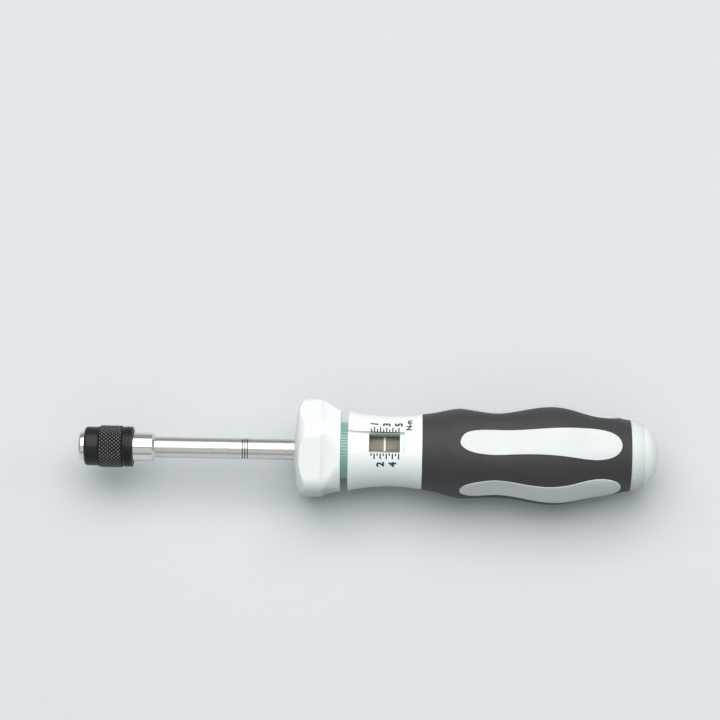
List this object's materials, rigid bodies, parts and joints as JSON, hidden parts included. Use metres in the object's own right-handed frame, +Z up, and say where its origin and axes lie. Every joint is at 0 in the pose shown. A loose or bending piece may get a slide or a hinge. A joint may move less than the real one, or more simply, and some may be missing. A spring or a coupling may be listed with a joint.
{
  "type": "torque screwdriver",
  "caption": "Adjustable slip-clutch torque screwdriver with a quick-release bit holder, a pull-to-unlock five-sided setting collar, a window scale and a soft lobed grip.",
  "frame": {"origin": "centre of the bit socket's mouth", "axes": "+X along the tool towards the end of the handle, +Z up as the tool lies on one flat of its collar and on its grip"},
  "size_m": [0.1968, 0.0342, 0.0345],
  "materials": {
    "chromed_steel": "polished",
    "stainless_steel": "fine turned",
    "black_steel": "satin black",
    "spring_steel": "oiled",
    "magnet": "nickel plated",
    "bearing_steel": "polished",
    "white_plastic": "fine satin",
    "mint_plastic": "satin",
    "black_rubber": "soft matt",
    "clear_plastic": "clear",
    "indicator_white": "painted",
    "turned_steel": "turned",
    "bronze": "turned",
    "nitrile": "smooth"
  },
  "bodies": {
    "handle": {"barrel": "turned_steel", "lock_ring": "mint_plastic", "tube_washer": "bronze", "scale_sleeve": "white_plastic", "window_lens": "clear_plastic", "grip_core": "white_plastic", "soft_grip": "black_rubber", "thrust_race": "bearing_steel", "thrust_washer": "bronze", "rear_plug": "turned_steel", "end_cap": "white_plastic"},
    "spindle": {"bit_holder": "chromed_steel", "shaft": "stainless_steel", "bit_magnet": "magnet", "sleeve_stop_ring": "spring_steel", "spring_stop_ring": "spring_steel", "sleeve_spring": "spring_steel", "cam_disc": "turned_steel", "cam_pin": "bearing_steel"},
    "lock_sleeve": {"lock_sleeve": "black_steel", "sleeve_end_ring": "black_steel"},
    "lock_ball": {"lock_ball": "bearing_steel"},
    "drive_tube": {"drive_tube": "turned_steel", "shaft_bushes": "bronze", "collar_stop_ring": "spring_steel", "collar_o_ring": "nitrile"},
    "collar": {"collar": "white_plastic", "collar_cap": "white_plastic"},
    "torque_nut": {"torque_nut": "turned_steel", "indicator_ring": "indicator_white", "nut_key_pin": "bearing_steel", "spring_washer": "turned_steel"},
    "pressure_plate": {"pressure_plate": "turned_steel", "plate_key_pins": "bearing_steel", "clutch_balls": "bearing_steel", "torque_spring": "spring_steel"}
  },
  "joints": [
    {"name": "spindle_turn", "type": "hinge", "parent": "handle", "child": "spindle", "pos_m": [0, 0, 0], "axis": [1, 0, 0], "continuous": true},
    {"name": "sleeve_pull", "type": "slide", "parent": "spindle", "child": "lock_sleeve", "axis": [1, 0, 0], "range_m": [0, 0.003], "stiffness_N_per_m": 1200, "springref_m": -0.003, "deforming": ["sleeve_spring"]},
    {"name": "ball_lift", "type": "slide", "parent": "spindle", "child": "lock_ball", "axis": [0, 0, 1], "range_m": [0, 0.0007]},
    {"name": "torque_set", "type": "hinge", "parent": "handle", "child": "drive_tube", "pos_m": [0, 0, 0], "axis": [-1, 0, 0], "range_deg": [-840.01, 1128.01]},
    {"name": "collar_push", "type": "slide", "parent": "drive_tube", "child": "collar", "axis": [1, 0, 0], "range_m": [0, 0.0024]},
    {"name": "nut_travel", "type": "slide", "parent": "handle", "child": "torque_nut", "axis": [1, 0, 0], "range_m": [-0.0035, 0.0047], "deforming": ["torque_spring"]},
    {"name": "plate_lift", "type": "slide", "parent": "handle", "child": "pressure_plate", "axis": [-1, 0, 0], "range_m": [0, 0.0008], "stiffness_N_per_m": 20000, "springref_m": -0.004, "deforming": ["torque_spring"]}
  ],
  "couplings": [
    {"joint": "torque_set", "follows": "nut_travel", "rad_per_m": 4188.8},
    {"joint": "ball_lift", "follows": "sleeve_pull", "ratio": 0.23333}
  ]
}
